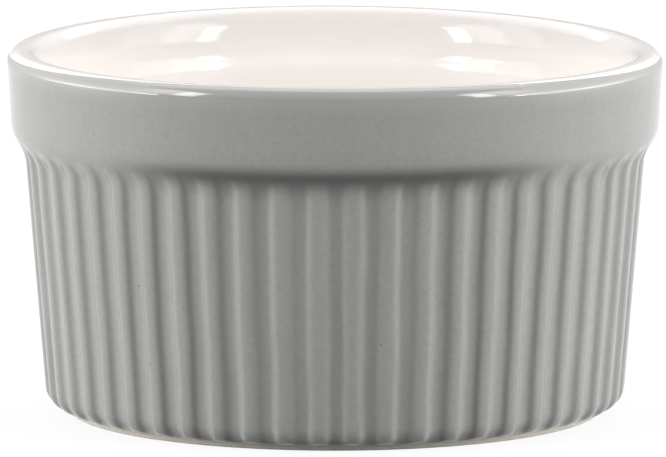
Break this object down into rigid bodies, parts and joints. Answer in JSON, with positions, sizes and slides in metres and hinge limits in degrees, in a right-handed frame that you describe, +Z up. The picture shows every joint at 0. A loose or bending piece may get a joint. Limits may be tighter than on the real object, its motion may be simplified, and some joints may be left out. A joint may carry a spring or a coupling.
{
  "type": "creme brulee dish",
  "caption": "Round fluted stoneware ramekin for baking and serving creme brulee, grey glazed outside, white glazed inside, with a plain band under the rim and a bare foot ring.",
  "frame": {"origin": "middle of the foot ring, on the surface that the dish stands on", "axes": "+Z up along the dish's axis to its open mouth; a groove between two flutes faces -Y"},
  "size_m": [0.09, 0.09, 0.0503],
  "materials": {
    "clay": "bare fired stoneware, matt",
    "grey_glaze": "satin grey glaze",
    "white_glaze": "glossy warm white glaze",
    "base_glaze": "satin grey glaze"
  },
  "bodies": {
    "root": {"clay_body": "clay", "outer_glaze": "grey_glaze", "inner_glaze": "white_glaze", "base_glaze": "base_glaze"}
  },
  "joints": []
}
